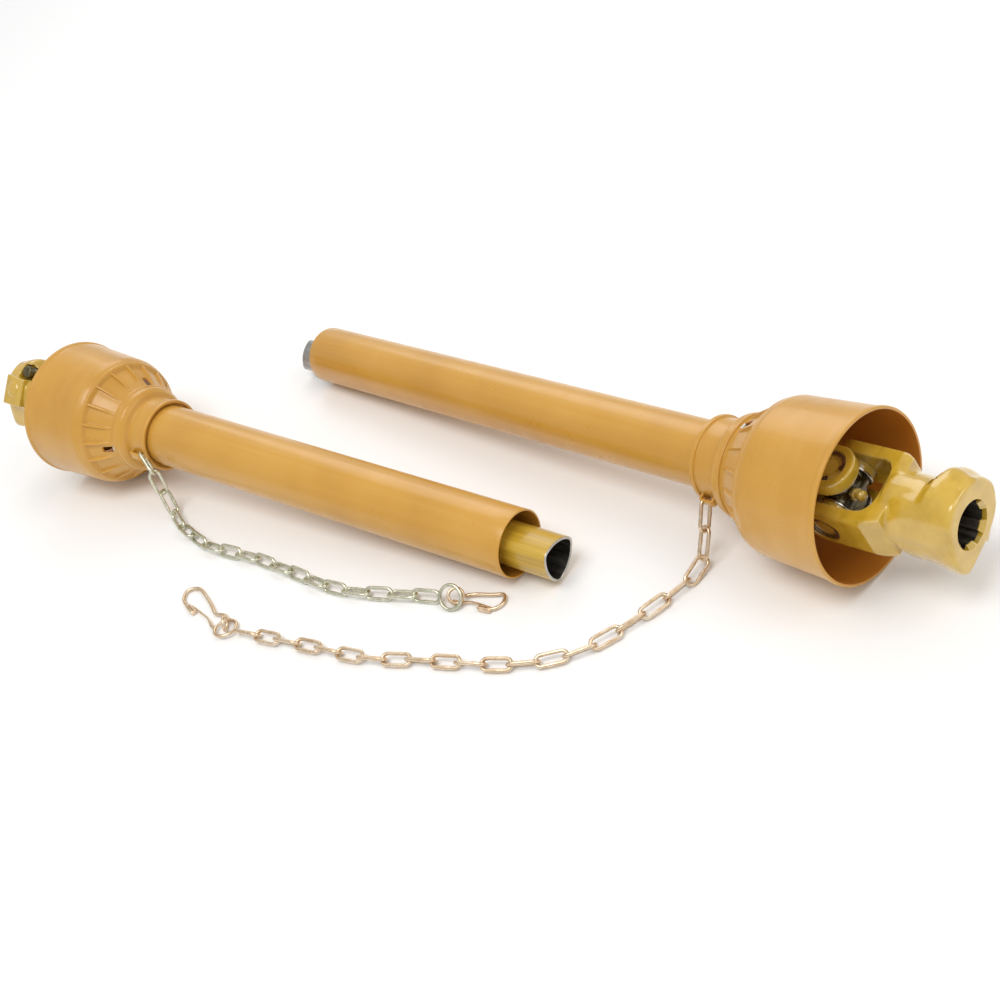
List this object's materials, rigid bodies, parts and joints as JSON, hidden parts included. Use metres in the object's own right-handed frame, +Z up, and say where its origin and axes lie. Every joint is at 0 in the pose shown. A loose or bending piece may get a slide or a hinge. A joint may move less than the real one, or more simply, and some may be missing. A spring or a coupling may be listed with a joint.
{
  "type": "guarded telescopic drive shaft, halves apart",
  "caption": "Guarded telescopic tractor drive shaft, drawn apart into halves: splined yoke with push pin, cross joint, plastic bell and tube guard, restraint chain with snap hook.",
  "frame": {"origin": "bottom centre of the box round both halves, chains left out, on the floor they lie on", "axes": "+X towards the splined yoke of half b, along the shafts; +Z up from the floor; half a lies on the -Y side with its yoke towards -X"},
  "size_m": [0.9662, 0.343, 0.129],
  "materials": {
    "guard_plastic": "satin ochre guard plastic",
    "nylon": "natural white nylon",
    "yoke_paint": "glossy olive yellow paint over cast and drawn steel",
    "bare_steel": "bare machined steel, lightly oiled",
    "zinc_green": "pale zinc plate",
    "zinc_gold": "yellow zinc plate"
  },
  "bodies": {
    "guard_a": {"guard_bell_a": "guard_plastic", "guard_tube_a": "guard_plastic", "bearing_ring_a": "nylon", "chain_a": "zinc_green", "chain_ring_a": "zinc_green", "hook_a": "zinc_gold"},
    "drive_a": {"tube_yoke_a": "yoke_paint", "profile_tube_a": "yoke_paint", "roll_pin_a": "bare_steel", "cap_1_a": "bare_steel", "cap_2_a": "bare_steel", "circlip_1_a": "bare_steel", "circlip_2_a": "bare_steel"},
    "cross_a": {"cross_a": "bare_steel", "grease_nipple_a": "bare_steel"},
    "yoke_a": {"end_yoke_a": "yoke_paint", "cap_3_a": "bare_steel", "cap_4_a": "bare_steel", "circlip_3_a": "bare_steel", "circlip_4_a": "bare_steel"},
    "pin_a": {"push_pin_a": "bare_steel", "pin_spring_a": "bare_steel"},
    "guard_b": {"guard_bell_b": "guard_plastic", "guard_tube_b": "guard_plastic", "bearing_ring_b": "nylon", "chain_b": "zinc_gold", "chain_ring_b": "zinc_gold", "hook_b": "zinc_gold"},
    "drive_b": {"tube_yoke_b": "yoke_paint", "profile_tube_b": "bare_steel", "roll_pin_b": "bare_steel", "cap_1_b": "bare_steel", "cap_2_b": "bare_steel", "circlip_1_b": "bare_steel", "circlip_2_b": "bare_steel"},
    "cross_b": {"cross_b": "bare_steel", "grease_nipple_b": "bare_steel"},
    "yoke_b": {"end_yoke_b": "yoke_paint", "cap_3_b": "bare_steel", "cap_4_b": "bare_steel", "circlip_3_b": "bare_steel", "circlip_4_b": "bare_steel"},
    "pin_b": {"push_pin_b": "bare_steel", "pin_spring_b": "bare_steel"}
  },
  "joints": [
    {"name": "shaft_spin_a", "type": "hinge", "parent": "guard_a", "child": "drive_a", "pos_m": [-0.38097, -0.06968, 0.06347], "axis": [-0.9952, -0.0654, 0.0726], "continuous": true},
    {"name": "cross_tilt_a", "type": "hinge", "parent": "drive_a", "child": "cross_a", "pos_m": [-0.38097, -0.06968, 0.06347], "axis": [-0.0767, 0.9834, -0.1646], "range_deg": [-25, 25]},
    {"name": "yoke_tilt_a", "type": "hinge", "parent": "cross_a", "child": "yoke_a", "pos_m": [-0.38097, -0.06968, 0.06347], "axis": [-0.055, -0.169, -0.9841], "range_deg": [-25, 25]},
    {"name": "push_pin_slide_a", "type": "slide", "parent": "yoke_a", "child": "pin_a", "axis": [-0.0936, 0.7025, -0.7055], "range_m": [0, 0.006], "stiffness_N_per_m": 900, "springref_m": -0.004},
    {"name": "half_apart", "type": "slide", "parent": "guard_a", "child": "guard_b", "axis": [0.998, -0.0632, 0], "range_m": [-0.03, 0.25]},
    {"name": "shaft_spin_b", "type": "hinge", "parent": "guard_b", "child": "drive_b", "pos_m": [0.38116, 0.07103, 0.06329], "axis": [0.9953, -0.0621, 0.0737], "continuous": true},
    {"name": "cross_tilt_b", "type": "hinge", "parent": "drive_b", "child": "cross_b", "pos_m": [0.38116, 0.07103, 0.06329], "axis": [-0.0869, -0.2454, 0.9655], "range_deg": [-25, 25]},
    {"name": "yoke_tilt_b", "type": "hinge", "parent": "cross_b", "child": "yoke_b", "pos_m": [0.38116, 0.07103, 0.06329], "axis": [-0.0452, -0.9672, -0.2499], "range_deg": [-25, 25]},
    {"name": "push_pin_slide_b", "type": "slide", "parent": "yoke_b", "child": "pin_b", "axis": [-0.0866, -0.7621, 0.6416], "range_m": [0, 0.006], "stiffness_N_per_m": 900, "springref_m": -0.004}
  ]
}
